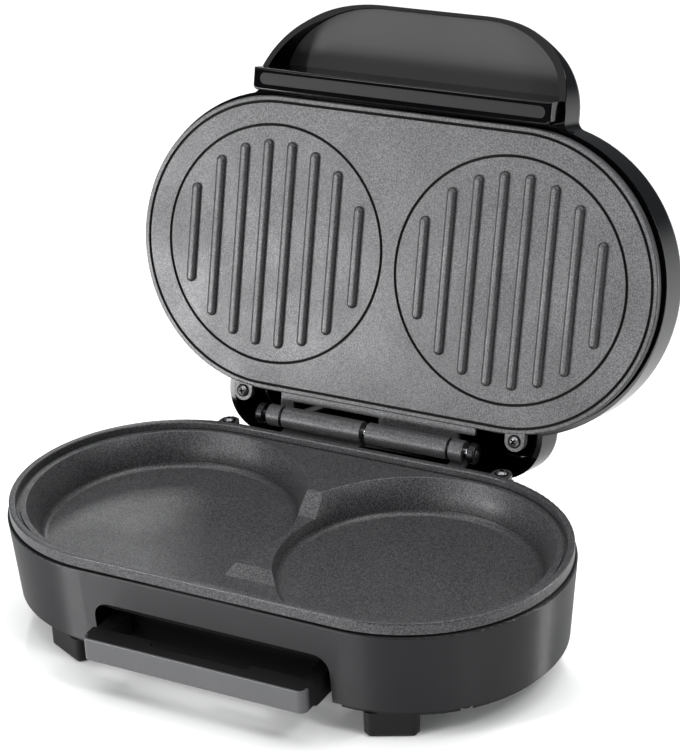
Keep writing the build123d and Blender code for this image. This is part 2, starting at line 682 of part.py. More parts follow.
with BuildPart() as upper_plate:
    with BuildSketch(lid_mid.offset(-field_drop)):
        SlotCenterToCenter(2 * plate_half, 2 * plate_r)
    extrude(amount=-lid_plate_thick)
    facing = upper_plate.faces().filter_by(lambda face: face.normal_at().dot(lid.z_dir) > square_on)
    fillet(facing.edges(), radius=rim_soft)
    # skirt that stands on the housing's lip
    with BuildSketch(upper_back):
        SlotCenterToCenter(2 * plate_half, 2 * (plate_r - rim_soft))
        SlotCenterToCenter(2 * plate_half, 2 * (plate_r - rim_soft - plate_wall), mode=Mode.SUBTRACT)
    extrude(amount=field_drop + lid_plate_thick - lid_lip + seat_gap)
    # ring groove round each set of ribs, and one along the edge
    with BuildSketch(lid_mid.offset(-field_drop)):
        with Locations((-cup_x, 0), (cup_x, 0)):
            Circle(ring_r + ring_width / 2)
            Circle(ring_r - ring_width / 2, mode=Mode.SUBTRACT)
    extrude(amount=-ring_depth, mode=Mode.SUBTRACT)
    with BuildSketch(lid_mid.offset(-field_drop)):
        SlotCenterToCenter(2 * plate_half, 2 * (edge_groove_r + ring_width / 2))
        SlotCenterToCenter(2 * plate_half, 2 * (edge_groove_r - ring_width / 2), mode=Mode.SUBTRACT)
    extrude(amount=-ring_depth, mode=Mode.SUBTRACT)
    with Locations(lid_mid.offset(-field_drop).location):
        add(rib_bank.part)
    # flange along the hinge, then the barrel on the right and its lug on the left
    plate_foot = lid_plate_mid - plate_r + rim_soft
    flange_top = field_drop + flange_step
    with BuildSketch(lid.offset(-flange_top)):
        with Locations((0, (flange_low + plate_foot) / 2)):
            Rectangle(2 * lug_out, plate_foot - flange_low + 2 * rim_soft)
    extrude(amount=flange_top - field_drop - lid_plate_thick)
    for near, far in ((barrel_in, barrel_out), (-lug_out, -lug_in)):
        with BuildSketch(lid_side.offset(near)):
            Circle(barrel_r)
            with BuildLine():
                Polyline((web_half, 0), (web_half, -flange_top), (plate_foot, -flange_top),
                         (plate_foot, -field_drop - lid_plate_thick),
                         (-web_half, -field_drop - lid_plate_thick), (-web_half, 0), close=True)
            make_face()
        extrude(amount=far - near)
    with BuildSketch(lid_side.offset(-lug_out)):
        Circle(bore_r)
    extrude(amount=lug_out + barrel_out, mode=Mode.SUBTRACT)
    # screw lugs
    with BuildSketch(lid.offset(-lid_lug_drop)):
        with Locations(*lid_screw_places):
            Circle(lug_r)
        with Locations(*((x, up + lug_r) for x, up in lid_screw_places)):
            Rectangle(2 * lug_r, 2 * lug_r)
        with Locations((0, lid_plate_mid)):
            SlotCenterToCenter(2 * plate_half, 2 * (plate_r - rim_soft), mode=Mode.SUBTRACT)
    extrude(amount=lid_lug_drop - field_drop - lid_plate_thick)
    with BuildSketch(lid.offset(-lid_lug_drop)):
        with Locations(*lid_screw_places):
            Circle(screw_bore_r)
    extrude(amount=lid_lug_drop - lid_lip, mode=Mode.SUBTRACT)
    # reflector posts and blind holes
    with BuildSketch(upper_back):
        with Locations(*post_places):
            Circle(post_r)
    extrude(amount=-post_height)
    with BuildSketch(upper_back):
        with Locations(*inner_screw_places):
            Circle(screw_bore_r)
    extrude(amount=inner_hole, mode=Mode.SUBTRACT)
    with BuildSketch(upper_back.offset(-post_height)):
        with Locations(*post_places):
            Circle(screw_bore_r)
    extrude(amount=post_hole, mode=Mode.SUBTRACT)
save(upper_plate.part, "upper_plate")

# ---------------------------------------------------------------- heating parts behind each plate
for where, back in (("lower", lower_back), ("upper", upper_back)):
    tube_plane = back.offset(-seat_gap - element_d / 2)
    with BuildPart() as element:
        with BuildLine(tube_plane) as tube_path:
            FilletPolyline((-terminal_x, terminal_back), (-terminal_x, element_r),
                           (-element_end, element_r), (-element_end, -element_r),
                           (element_end, -element_r), (element_end, element_r),
                           (terminal_x, element_r), (terminal_x, terminal_back),
                           radius=[terminal_bend, element_bend, element_bend, element_bend,
                                   element_bend, terminal_bend])
        end_plane = Plane(origin=tube_plane.from_local_coords(Vector(0, terminal_back, 0)),
                          x_dir=tube_plane.x_dir, z_dir=tube_plane.y_dir)
        with BuildSketch(end_plane):
            with Locations((-terminal_x, 0)):
                Circle(element_d / 2)
        sweep(path=tube_path.wire())
        with BuildSketch(end_plane):
            with Locations((-terminal_x, 0), (terminal_x, 0)):
                Circle(cold_pin_d / 2)
        extrude(amount=cold_pin_long)
    save(element.part, f"{where}_element")

    tube_drop = seat_gap + element_d / 2
    inner_r = element_d / 2 + seat_gap
    outer_r = inner_r + clamp_thick
    with BuildPart() as clamps:
        for x, y in clamp_places:
            with BuildSketch(Plane(origin=back.from_local_coords(Vector(x, y, 0)),
                                   x_dir=back.y_dir, z_dir=back.x_dir)):
                with Locations((0, -tube_drop)):
                    Circle(outer_r)
                with Locations((0, -tube_drop / 2)):
                    Rectangle(2 * outer_r, tube_drop)
                with Locations((0, -clamp_thick / 2)):
                    Rectangle(2 * (clamp_foot + post_r), clamp_thick)
                with Locations((0, -tube_drop)):
                    Circle(inner_r, mode=Mode.SUBTRACT)
                with Locations((0, 0)):
                    Rectangle(2 * inner_r, 2 * tube_drop, mode=Mode.SUBTRACT)
                with Locations((0, outer_r)):
                    Rectangle(4 * outer_r, 2 * outer_r, mode=Mode.SUBTRACT)
            extrude(amount=clamp_wide / 2, both=True)
        with BuildSketch(back):
            with Locations(*inner_screw_places):
                Circle(screw_bore_r)
        extrude(amount=-clamp_thick, mode=Mode.SUBTRACT)
    save(clamps.part, f"{where}_element_clamps")

    with BuildPart() as reflector:
        with BuildSketch(back.offset(-post_height - seat_gap)):
            SlotCenterToCenter(2 * cup_x, 2 * reflector_r)
        extrude(amount=-reflector_thick)
        with BuildSketch(back.offset(-post_height - seat_gap)):
            SlotCenterToCenter(2 * cup_x, 2 * reflector_r)
            SlotCenterToCenter(2 * cup_x, 2 * (reflector_r - reflector_thick), mode=Mode.SUBTRACT)
            with Locations((0, reflector_r)):
                Rectangle(2 * (terminal_x + element_d), reflector_r, mode=Mode.SUBTRACT)
        extrude(amount=reflector_lip)
        with BuildSketch(back.offset(-post_height)):
            with Locations(*post_places):
                Circle(screw_bore_r)
        extrude(amount=-seat_gap - reflector_thick, mode=Mode.SUBTRACT)
    save(reflector.part, f"{where}_reflector")

    screw_group(f"{where}_inner_screws", flipped(back.offset(-clamp_thick)),
                [(x, -y) for x, y in inner_screw_places], clamp_thick + inner_hole - seat_gap)
    screw_group(f"{where}_reflector_screws",
                flipped(back.offset(-post_height - seat_gap - reflector_thick)),
                [(x, -y) for x, y in post_places], post_hole)

# thermostat on the lid plate, thermal fuse on the lower plate
with BuildPart() as thermostat:
    with BuildSketch(upper_back):
        with Locations((thermo_x, 0)):
            SlotCenterToCenter(2 * thermo_reach, thermo_wide)
        with Locations(*inner_screw_places[-2:]):
            Circle(screw_bore_r, mode=Mode.SUBTRACT)
    extrude(amount=-clamp_thick)
    with BuildSketch(upper_back):
        with Locations((thermo_x, 0)):
            Circle(thermo_r)
    extrude(amount=-thermo_high)
save(thermostat.part, "thermostat")

with BuildPart() as thermal_fuse:
    with BuildSketch(lower_back):
        with Locations((thermo_x, 0)):
            SlotCenterToCenter(2 * thermo_reach, thermo_wide)
        with Locations(*inner_screw_places[-2:]):
            Circle(screw_bore_r, mode=Mode.SUBTRACT)
    extrude(amount=-clamp_thick)
    fuse_middle = lower_back.from_local_coords(Vector(thermo_x, 0, -clamp_thick - fuse_r / 2))
    with BuildSketch(Plane(origin=fuse_middle, x_dir=(1, 0, 0), z_dir=(0, 1, 0))):
        Circle(fuse_r)
    extrude(amount=fuse_long / 2, both=True)
save(thermal_fuse.part, "thermal_fuse")

with BuildPart() as terminal_block:
    with BuildSketch(deck.offset(-cover_under + cover_floor + seat_gap)):
        with Locations(terminal_at):
            Rectangle(terminal_wide, terminal_deep)
    extrude(amount=terminal_high)
    with BuildSketch(deck.offset(-cover_under + cover_floor + seat_gap + terminal_high)):
        with Locations(terminal_at):
            with GridLocations(terminal_pitch, terminal_pitch, terminal_count, 1):
                Circle(terminal_hole / 2)
    extrude(amount=-terminal_high / 2, mode=Mode.SUBTRACT)
save(terminal_block.part, "terminal_block")

with BuildPart() as cord_bush:
    with BuildSketch(Plane(origin=(bush_x, deck_y + hinge_deck_back, rim_height - bush_drop),
                           x_dir=(0, 1, 0), z_dir=(1, 0, 0))):
        with BuildLine():
            Polyline((bush_long, bush_hole_r), (bush_long, bush_neck_r), (seat_gap, bush_flange_r),
                     (seat_gap, bush_neck_r), (-housing_wall - seat_gap, bush_neck_r),
                     (-housing_wall - seat_gap, bush_nut_r), (-2 * housing_wall, bush_nut_r),
                     (-2 * housing_wall, bush_hole_r), close=True)
        make_face()
    revolve(axis=Axis((bush_x, deck_y, rim_height - bush_drop), (0, 1, 0)))
save(cord_bush.part, "cord_bush")

# ---------------------------------------------------------------- lid housing and handle shell
lid_depth = lid_back - lid_lip

# outline of the lid with the tail that hides the hinge
with BuildSketch(lid.offset(-lid_lip)) as lid_outline:
    with BuildLine():
        flank = Line((-tail_half, lid_plate_mid), (-tail_half, tail_shoulder))
        left_tail = ThreePointArc(flank @ 1, (-tail_knee_half, -tail_knee), (-tail_tip_half, -tail_reach))
        tip = Line(left_tail @ 1, (tail_tip_half, -tail_reach))
        right_tail = ThreePointArc(tip @ 1, (tail_knee_half, -tail_knee), (tail_half, tail_shoulder))
        Polyline(right_tail @ 1, (tail_half, lid_plate_mid), flank @ 0)
    make_face()
    with Locations((0, lid_plate_mid)):
        SlotCenterToCenter(2 * lid_half, 2 * lid_r)

scoop_low = ledge_high - skirt_thick


def handle_outline(plane, inset):
    """Outline of the handle down to the middle of the lid, drawn in from its edge."""
    with BuildSketch(plane) as outline:
        with BuildLine():
            flank = Line((handle_half - inset, lid_plate_mid), (handle_half - inset, handle_shoulder))
            CenterArc((handle_half - handle_side_r, handle_shoulder), handle_side_r - inset,
                      0, handle_turn)
            crest = CenterArc((handle_top_x, handle_end - handle_top_r), handle_top_r - inset,
                              handle_turn, 90 - handle_turn)
            Line(crest @ 1, (0, handle_end - inset))
            Line((0, lid_plate_mid), flank @ 0)
            mirror(about=Plane.YZ)
        make_face()
    return outline


def scoop_outline(plane, inset):
    """Outline of the scoop inside the handle, above the ledge's skirt."""
    with BuildSketch(plane) as outline:
        add(handle_outline(plane, handle_wall + inset).face())
        with Locations((0, lid_plate_mid)):
            Rectangle(2 * handle_half, 2 * (scoop_low + inset - lid_plate_mid), mode=Mode.SUBTRACT)
    return outline


# the space inside the dome
with BuildPart() as lid_core:
    with BuildSketch(lid.offset(-lid_lip)):
        add(offset(lid_outline.face(), amount=-lid_wall, mode=Mode.PRIVATE))
    extrude(amount=lid_wall - lid_depth)
    ceiling = lid_core.faces().filter_by(lambda face: face.normal_at().dot(lid.z_dir) < -square_on)
    fillet(ceiling.edges(), radius=lid_dome - lid_wall)

with BuildSketch(lid.offset(-handle_rim)) as whole_outline:
    add(lid_outline.face())
    add(handle_outline(lid.offset(-handle_rim), 0).face())
    for flank in (-handle_half, handle_half):
        root = whole_outline.vertices().filter_by_position(Axis.X, flank - seat_gap, flank + seat_gap)
        fillet(root.sort_by(Axis.Y)[0], radius=handle_root)

with BuildPart() as lid_housing:
    with BuildSketch(lid.offset(-lid_lip)):
        add(lid_outline.face())
    extrude(amount=lid_lip - handle_rim)
    with BuildSketch(lid.offset(-handle_rim)):
        add(whole_outline.face())
    extrude(amount=handle_rim - lid_back)
    crown = lid_housing.faces().filter_by(lambda face: face.normal_at().dot(lid.z_dir) < -square_on)
    fillet(crown.edges(), radius=lid_dome)
    add(lid_core.part, mode=Mode.SUBTRACT)
    # the handle's front edge leans back from the ledge to its top
    with BuildSketch(lid_side.offset(-2 * handle_half)):
        with BuildLine():
            Polyline((ledge_high, -handle_rim), (handle_end, -handle_tip), (2 * handle_end, -handle_tip),
                     (2 * handle_end, 0), (ledge_high, 0), close=True)
        make_face()
    extrude(amount=4 * handle_half, mode=Mode.SUBTRACT)
    leaning = lid_housing.faces().filter_by(
        lambda face: lean_least < face.normal_at().dot(lid.z_dir) < square_on).sort_by(SortBy.AREA)[-1]
    fillet(leaning.edges().filter_by(
        lambda edge: lid.to_local_coords(edge @ 0.5).Y > ledge_high + seat_gap), radius=handle_soft)
    # scoop for the fingers, and the pocket under the ledge
    with BuildSketch(lid.offset(-handle_rim)):
        add(scoop_outline(lid.offset(-handle_rim), 0).face())
    extrude(amount=handle_rim - handle_floor - panel_thick - seat_gap, mode=Mode.SUBTRACT)
    with BuildSketch(lid.offset(-handle_rim)):
        with Locations((0, (ledge_low + scoop_low) / 2)):
            Rectangle(2 * (ledge_half - ledge_wall), scoop_low - ledge_low - ledge_wall)
    extrude(amount=handle_rim - lid_floor, mode=Mode.SUBTRACT)
    # bosses under the plate's screw lugs
    with BuildSketch(lid.offset(-boss_top)):
        with Locations(*lid_screw_places):
            Circle(lid_boss_r)
    extrude(amount=boss_top - lid_floor - lid_wall / 2)
    with BuildSketch(lid.offset(-boss_top)):
        with Locations(*lid_screw_places):
            Circle(screw_bore_r)
    extrude(amount=-screw_long, mode=Mode.SUBTRACT)
    # nibs on the tail that rest against the base when the lid is open
    with BuildSketch(lid.offset(-stop_face)):
        with Locations(*((x, stop_deep / 2 - tail_reach) for x in (-stop_x, stop_x))):
            Rectangle(stop_wide, stop_deep)
    extrude(amount=stop_face - lid_back + lid_dome)
    # windows for the indicator lenses
    with BuildSketch(lid.offset(-lid_back)):
        with Locations(*lens_places):
            Circle(lens_d / 2 + seat_gap)
    extrude(amount=lid_dome, mode=Mode.SUBTRACT)
save(lid_housing.part, "lid_housing")

with BuildPart() as handle_panel:
    with BuildSketch(lid.offset(-handle_floor)):
        add(scoop_outline(lid.offset(-handle_floor), fit_gap).face())
    extrude(amount=-panel_thick)
save(handle_panel.part, "handle_panel")

# front block of the handle: a ledge with a lower skirt inside the scoop
ledge_mid = (ledge_low + ledge_high) / 2
with BuildPart() as handle_ledge:
    with BuildSketch(lid.offset(-handle_rim + seat_gap)):
        with Locations((0, ledge_mid)):
            Rectangle(2 * ledge_half, ledge_high - ledge_low)
    extrude(amount=handle_rim - seat_gap - ledge_face)
    ends = handle_ledge.edges().filter_by(lambda edge: abs((edge % 0.5).dot(lid.z_dir)) > square_on)
    fillet(ends.group_by(lambda edge: lid.to_local_coords(edge @ 0.5).Y)[0], radius=ledge_round)
    brow = handle_ledge.faces().filter_by(lambda face: face.normal_at().dot(lid.z_dir) > square_on)
    fillet(brow.edges(), radius=ledge_soft)
    # skirt that reaches back into the scoop
    with BuildSketch(lid.offset(-handle_rim + seat_gap)):
        add(scoop_outline(lid.offset(-handle_rim + seat_gap), fit_gap).face())
        with Locations((0, ledge_high + handle_rise)):
            Rectangle(2 * handle_half, 2 * handle_rise, mode=Mode.SUBTRACT)
    extrude(amount=handle_rim - handle_floor)
    with BuildSketch(lid.offset(-handle_rim + seat_gap)):
        with Locations((0, ledge_mid - skirt_thick / 2 + ledge_wall / 2)):
            Rectangle(2 * (ledge_half - ledge_wall), ledge_high - ledge_low - skirt_thick - ledge_wall)
    extrude(amount=handle_rim - ledge_face - band_sink - band_thick - ledge_wall, mode=Mode.SUBTRACT)
    with BuildSketch(lid.offset(-ledge_face)):
        with Locations((0, band_mid)):
            SlotOverall(2 * band_half, band_tall)
    extrude(amount=-band_sink - band_thick, mode=Mode.SUBTRACT)
save(handle_ledge.part, "handle_ledge")

with BuildPart() as ledge_band:
    with BuildSketch(lid.offset(-ledge_face - band_sink)):
        with Locations((0, band_mid)):
            SlotOverall(2 * (band_half - seat_gap), band_tall - 2 * seat_gap)
    extrude(amount=seat_gap - band_thick)
save(ledge_band.part, "ledge_band")

# ---------------------------------------------------------------- indicator lamps
with BuildPart() as indicator_lenses:
    with BuildSketch(lid.offset(-lid_back - lens_proud)):
        with Locations(*lens_places):
            Circle(lens_d / 2)
    extrude(amount=lens_proud + lid_wall + seat_gap)
    fillet(indicator_lenses.faces().filter_by(
        lambda face: face.normal_at().dot(lid.z_dir) < -square_on).edges(), radius=lens_soft)
    with BuildSketch(lid.offset(-lid_floor + seat_gap)):
        with Locations(*lens_places):
            Circle(lens_d / 2 + lens_flange)
    extrude(amount=lens_flange)
save(indicator_lenses.part, "indicator_lenses")

holder_low = lid_floor - lens_flange - 2 * seat_gap
with BuildPart() as indicator_lamps:
    with BuildSketch(lid.offset(-holder_low)):
        with Locations(*lens_places):
            Circle(lamp_d / 2)
    extrude(amount=lamp_long)
save(indicator_lamps.part, "indicator_lamps")

with BuildPart() as lamp_holder:
    with BuildSketch(lid.offset(-holder_low)):
        with Locations((0, lens_up)):
            Rectangle(2 * holder_half, holder_wide)
        with Locations(*lens_places):
            Circle(lamp_d / 2 + seat_gap, mode=Mode.SUBTRACT)
    extrude(amount=lamp_long)
    with BuildSketch(lid.offset(-lid_floor + seat_gap)):
        with Locations((-holder_half + holder_foot / 2, lens_up), (holder_half - holder_foot / 2, lens_up)):
            Rectangle(holder_foot, holder_wide)
    extrude(amount=lens_flange + seat_gap)
save(lamp_holder.part, "lamp_holder")

# ---------------------------------------------------------------- screws that show, and those of the covers
screw_group("lower_plate_screws", deck.offset(-lug_drop + seat_gap), rear_screw_places, screw_long)
screw_group("upper_plate_screws", lid.offset(-lid_lug_drop + seat_gap), lid_screw_places, screw_long)
screw_group("bottom_cover_screws", flipped(deck.offset(-cover_under + screw_head_h)),
            [(x, -y) for x, y in cover_screw_places], screw_long)
screw_group("grip_bar_screws", flipped(front_plane(-recess_back + housing_wall + seat_gap)),
            [(x, -z) for x, z in arm_screw_places], screw_long)
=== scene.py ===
"""Looks of the twin-cup breakfast sandwich maker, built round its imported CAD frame."""
from math import cos, radians, sin

import bpy
from mathutils import Matrix, Vector


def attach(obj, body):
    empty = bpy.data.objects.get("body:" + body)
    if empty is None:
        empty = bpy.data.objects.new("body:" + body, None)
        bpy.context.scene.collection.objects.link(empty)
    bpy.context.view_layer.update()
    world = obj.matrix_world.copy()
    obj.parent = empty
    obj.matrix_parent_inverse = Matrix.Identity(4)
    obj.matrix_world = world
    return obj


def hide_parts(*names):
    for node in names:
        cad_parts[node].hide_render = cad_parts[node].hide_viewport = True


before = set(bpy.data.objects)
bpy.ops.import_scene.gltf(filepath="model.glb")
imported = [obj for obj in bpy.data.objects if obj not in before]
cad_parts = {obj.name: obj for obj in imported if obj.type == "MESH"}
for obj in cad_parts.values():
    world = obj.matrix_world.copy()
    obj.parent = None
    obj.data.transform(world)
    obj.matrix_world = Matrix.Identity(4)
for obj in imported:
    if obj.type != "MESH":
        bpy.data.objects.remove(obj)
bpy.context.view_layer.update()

MM = 0.001

# ---------------------------------------------------------------- places on the appliance
HINGE = Vector((0, 40.820, 63.13)) * MM       # a point on the hinge pin's axis
LID_FALL = radians(104.4)                     # how far the lid stands open
DECK = Vector((0, -41.030, 60.0)) * MM        # middle of the base, level with its rim
lid_up = Vector((0, -cos(LID_FALL), sin(LID_FALL)))
lid_out = Vector((0, -sin(LID_FALL), -cos(LID_FALL)))
LID_PLACE = Matrix((
    (1, lid_up.x, lid_out.x, HINGE.x),
    (0, lid_up.y, lid_out.y, HINGE.y),
    (0, lid_up.z, lid_out.z, HINGE.z),
    (0, 0, 0, 1),
))

# the finger recess in the housing's drafted front
HOUSING_FRONT = 72.9 * MM                     # middle of the base to the front wall's top
HOUSING_TOP = 53.6 * MM                       # height of the front wall's top
WALL_DRAFT = 3.2 / 38.3                       # how much the wall leans in, per height
RECESS_HALF = 59.3 * MM
RECESS_TOP = 38.6 * MM
RECESS_FACE = DECK.y - HOUSING_FRONT + WALL_DRAFT * HOUSING_TOP   # the wall, carried to z = 0
SHADE_NEAR, SHADE_FAR = 0.3 * MM, 0.8 * MM      # where the painted shade of the recess fades in behind that face

# the grooves of the lid's plate
HINGE_TO_MIDDLE = 81.85 * MM
FIELD_BEHIND = 9.0 * MM                       # the plate's flat lies behind the hinge's plane
FIELD_MIDDLE = HINGE + lid_up * HINGE_TO_MIDDLE - lid_out * FIELD_BEHIND
CUP_X = 62.3 * MM
RING_R = 58.4 * MM
PLATE_HALF = 63.5 * MM
EDGE_GROOVE_R = 69.4 * MM
GROOVE_HALF = 0.65 * MM
GROOVE_CORE, GROOVE_FADE = 0.7 * GROOVE_HALF, 1.3 * GROOVE_HALF

# sockets of the Mix node: sides and result for values, then for colours
SIDE_A, SIDE_B, MIXED = 2, 3, 0
TINT_A, TINT_B, TINTED = 6, 7, 2

DRIFT_LOW, DRIFT_HIGH = 0.3, 0.7              # the part of a noise's range that is often met


# ---------------------------------------------------------------- small helpers
def linear(code):
    """An sRGB hex colour as linear RGBA."""
    parts = [int(code[i:i + 2], 16) / 255 for i in (1, 3, 5)]
    return tuple(c / 12.92 if c <= 0.04045 else ((c + 0.055) / 1.055) ** 2.4
                 for c in parts) + (1.0,)


def per_metre(size_mm):
    """Texture scale that gives one feature per size, in millimetres."""
    return 1 / (size_mm * MM)


def add_node(tree, kind, inputs=None, **settings):
    """Add a node; each input takes a value, or a link where it is given a socket."""
    made = tree.nodes.new(kind)
    for key, value in settings.items():
        setattr(made, key, value)
    for key, value in (inputs or {}).items():
        if isinstance(value, bpy.types.NodeSocket):
            tree.links.new(value, made.inputs[key])
        else:
            made.inputs[key].default_value = value
    return made


def start_material(name, shader):
    """A material with its shader's plain values set on the shader's own sockets."""
    material = bpy.data.materials.new(name)
    material.use_nodes = True
    tree = material.node_tree
    tree.nodes.clear()
    bsdf = add_node(tree, "ShaderNodeBsdfPrincipled", shader)
    add_node(tree, "ShaderNodeOutputMaterial", {"Surface": bsdf.outputs[0]})
    place = add_node(tree, "ShaderNodeTexCoord").outputs["Object"]
    return material, tree, bsdf, place


def clouded(tree, bsdf, noise, tones, rough):
    """Colour and roughness that go between two values each, as the noise drifts."""
    tone = add_node(tree, "ShaderNodeMix", {
        "Factor": noise, TINT_A: tones[0], TINT_B: tones[1]}, data_type="RGBA")
    tree.links.new(tone.outputs[TINTED], bsdf.inputs["Base Color"])
    satin = add_node(tree, "ShaderNodeMapRange", {
        "Value": noise, "From Min": DRIFT_LOW, "From Max": DRIFT_HIGH,
        "To Min": rough[0], "To Max": rough[1]})
    tree.links.new(satin.outputs[0], bsdf.inputs["Roughness"])


def pebbled(tree, bsdf, place, size_mm, harshness, strength, depth_mm):
    """A fine relief over the whole surface, its pebbles of one size and depth."""
    pebble = add_node(tree, "ShaderNodeTexNoise", {
        "Vector": place, "Scale": per_metre(size_mm), "Detail": 3.0, "Roughness": harshness})
    bump = add_node(tree, "ShaderNodeBump", {
        "Height": pebble.outputs[0], "Strength": strength, "Distance": depth_mm * MM})
    tree.links.new(bump.outputs[0], bsdf.inputs["Normal"])


def overlaid(tree, bsdf, mask, code, rough):
    """Where the mask is 1, a colour and a roughness take over from the material's own."""
    own = bsdf.inputs["Base Color"].links[0].from_socket
    tone = add_node(tree, "ShaderNodeMix", {
        "Factor": mask, TINT_A: own, TINT_B: linear(code)}, data_type="RGBA")
    tree.links.new(tone.outputs[TINTED], bsdf.inputs["Base Color"])
    satin = bsdf.inputs["Roughness"].links[0].from_socket
    dulled = add_node(tree, "ShaderNodeMix", {"Factor": mask, SIDE_A: satin, SIDE_B: rough})
    tree.links.new(dulled.outputs[MIXED], bsdf.inputs["Roughness"])


# ---------------------------------------------------------------- materials
def cast_nonstick(name):
    """Cast aluminium under a sprayed non-stick coat: satin dark grey with a fine mineral grain,
    and a pebble from the grit-blasted casting that breaks up the highlights. The grain, 0.1 mm on
    the real coat, is drawn at 0.65 mm so that it shows."""
    material, tree, bsdf, place = start_material(name, {"Metallic": 0.26, "IOR": 1.45})
    drift = add_node(tree, "ShaderNodeTexNoise", {
        "Vector": place, "Scale": per_metre(28), "Detail": 3.0, "Roughness": 0.5})
    clouded(tree, bsdf, drift.outputs[0], (linear("#262628"), linear("#2e2e30")), (0.36, 0.46))
    grain = add_node(tree, "ShaderNodeTexNoise", {
        "Vector": place, "Scale": per_metre(0.65), "Detail": 1.0, "Roughness": 0.7})
    fleck = add_node(tree, "ShaderNodeMapRange", {
        "Value": grain.outputs[0], "From Min": 0.42, "From Max": 0.6})
    coat = bsdf.inputs["Base Color"].links[0].from_socket
    tone = add_node(tree, "ShaderNodeMix", {
        "Factor": fleck.outputs[0], TINT_A: coat, TINT_B: linear("#4c4c4d")}, data_type="RGBA")
    tree.links.new(tone.outputs[TINTED], bsdf.inputs["Base Color"])
    pebbled(tree, bsdf, place, size_mm=0.9, harshness=0.6, strength=0.6, depth_mm=0.12)
    return material


def groove_shade_painted():
    """The same coat on the ribbed plate, with painted shade in the two ring grooves and the
    groove along the edge: their colour is drawn near-black and dull, so they read as dark drawn
    lines."""
    material = cast_nonstick("cast_nonstick_coating_groove_shade")
    tree = material.node_tree
    axes = add_node(tree, "ShaderNodeSeparateXYZ", {
        0: tree.nodes["Texture Coordinate"].outputs["Object"]})
    aside = add_node(tree, "ShaderNodeMath", {0: axes.outputs["X"]}, operation="ABSOLUTE")
    past_straight = add_node(tree, "ShaderNodeMath", {
        0: aside.outputs[0], 1: PLATE_HALF}, operation="MAXIMUM")
    lines = []
    for across, centre_x, radius in ((aside, CUP_X, RING_R),
                                     (past_straight, PLATE_HALF, EDGE_GROOVE_R)):
        folded = add_node(tree, "ShaderNodeCombineXYZ", {
            "X": across.outputs[0], "Y": axes.outputs["Y"], "Z": axes.outputs["Z"]})
        span = add_node(tree, "ShaderNodeVectorMath", {
            0: folded.outputs[0], 1: (centre_x, FIELD_MIDDLE.y, FIELD_MIDDLE.z)},
            operation="DISTANCE")
        off_line = add_node(tree, "ShaderNodeMath", {
            0: span.outputs["Value"], 1: radius}, operation="SUBTRACT")
        away = add_node(tree, "ShaderNodeMath", {0: off_line.outputs[0]}, operation="ABSOLUTE")
        lines.append(add_node(tree, "ShaderNodeMapRange", {
            "Value": away.outputs[0], "From Min": GROOVE_CORE, "From Max": GROOVE_FADE,
            "To Min": 0.92, "To Max": 0.0}))
    grooves = add_node(tree, "ShaderNodeMath", {
        0: lines[0].outputs[0], 1: lines[1].outputs[0]}, operation="MAXIMUM")
    # painted shade: near-black, dull colour laid along the grooves, standing in for the shadow in
    # them
    overlaid(tree, tree.nodes["Principled BSDF"], grooves.outputs[0], "#030303", 0.95)
    return material


def moulded(name, codes, rough, grain_mm, depth_mm, shader):
    """A moulded plastic: its two tones and its gloss drift over the piece, under a fine
    moulding grain."""
    material, tree, bsdf, place = start_material(name, shader)
    drift = add_node(tree, "ShaderNodeTexNoise", {
        "Vector": place, "Scale": per_metre(35), "Detail": 4.0, "Roughness": 0.55})
    clouded(tree, bsdf, drift.outputs[0], [linear(code) for code in codes], rough)
    pebbled(tree, bsdf, place, grain_mm, harshness=0.5, strength=0.3, depth_mm=depth_mm)
    return material


def lacquer_and_recess_shade():
    """ABS sprayed with a gunmetal satin lacquer, with painted shade inside the finger recess:
    there the colour goes near-black and dull and the reflection is turned down, so the front
    reads as metal, with a deep black slot in it."""
    material = moulded("gunmetal_lacquer_recess_shaded", ("#19191b", "#1e1e20"), (0.44, 0.5), 4.0, 0.02,
                       {"IOR": 1.45, "Anisotropic": 0.9, "Anisotropic Rotation": 0.25})
    tree = material.node_tree
    bsdf = tree.nodes["Principled BSDF"]
    axes = add_node(tree, "ShaderNodeSeparateXYZ", {
        0: tree.nodes["Texture Coordinate"].outputs["Object"]})
    lean = add_node(tree, "ShaderNodeMath", {
        0: axes.outputs["Z"], 1: WALL_DRAFT, 2: axes.outputs["Y"]}, operation="MULTIPLY_ADD")
    behind = add_node(tree, "ShaderNodeMapRange", {
        "Value": lean.outputs[0],
        "From Min": RECESS_FACE + SHADE_NEAR, "From Max": RECESS_FACE + SHADE_FAR})
    aside = add_node(tree, "ShaderNodeMath", {0: axes.outputs["X"]}, operation="ABSOLUTE")
    within = add_node(tree, "ShaderNodeMath", {
        0: aside.outputs[0], 1: RECESS_HALF}, operation="LESS_THAN")
    under = add_node(tree, "ShaderNodeMath", {
        0: axes.outputs["Z"], 1: RECESS_TOP}, operation="LESS_THAN")
    both = add_node(tree, "ShaderNodeMath", {
        0: within.outputs[0], 1: under.outputs[0]}, operation="MULTIPLY")
    inside = add_node(tree, "ShaderNodeMath", {
        0: both.outputs[0], 1: behind.outputs[0]}, operation="MULTIPLY").outputs[0]
    # painted shade: behind the recess's face the colour goes near-black and dull, and metal and
    # reflection are turned down, standing in for the shadow inside it
    overlaid(tree, bsdf, inside, "#040404", 0.85)
    for label, on_face, in_recess in (("Metallic", 0.35, 0.0),
                                      ("Specular IOR Level", 0.5, 0.08)):
        level = add_node(tree, "ShaderNodeMix", {
            "Factor": inside, SIDE_A: on_face, SIDE_B: in_recess})
        tree.links.new(level.outputs[MIXED], bsdf.inputs[label])
    return material


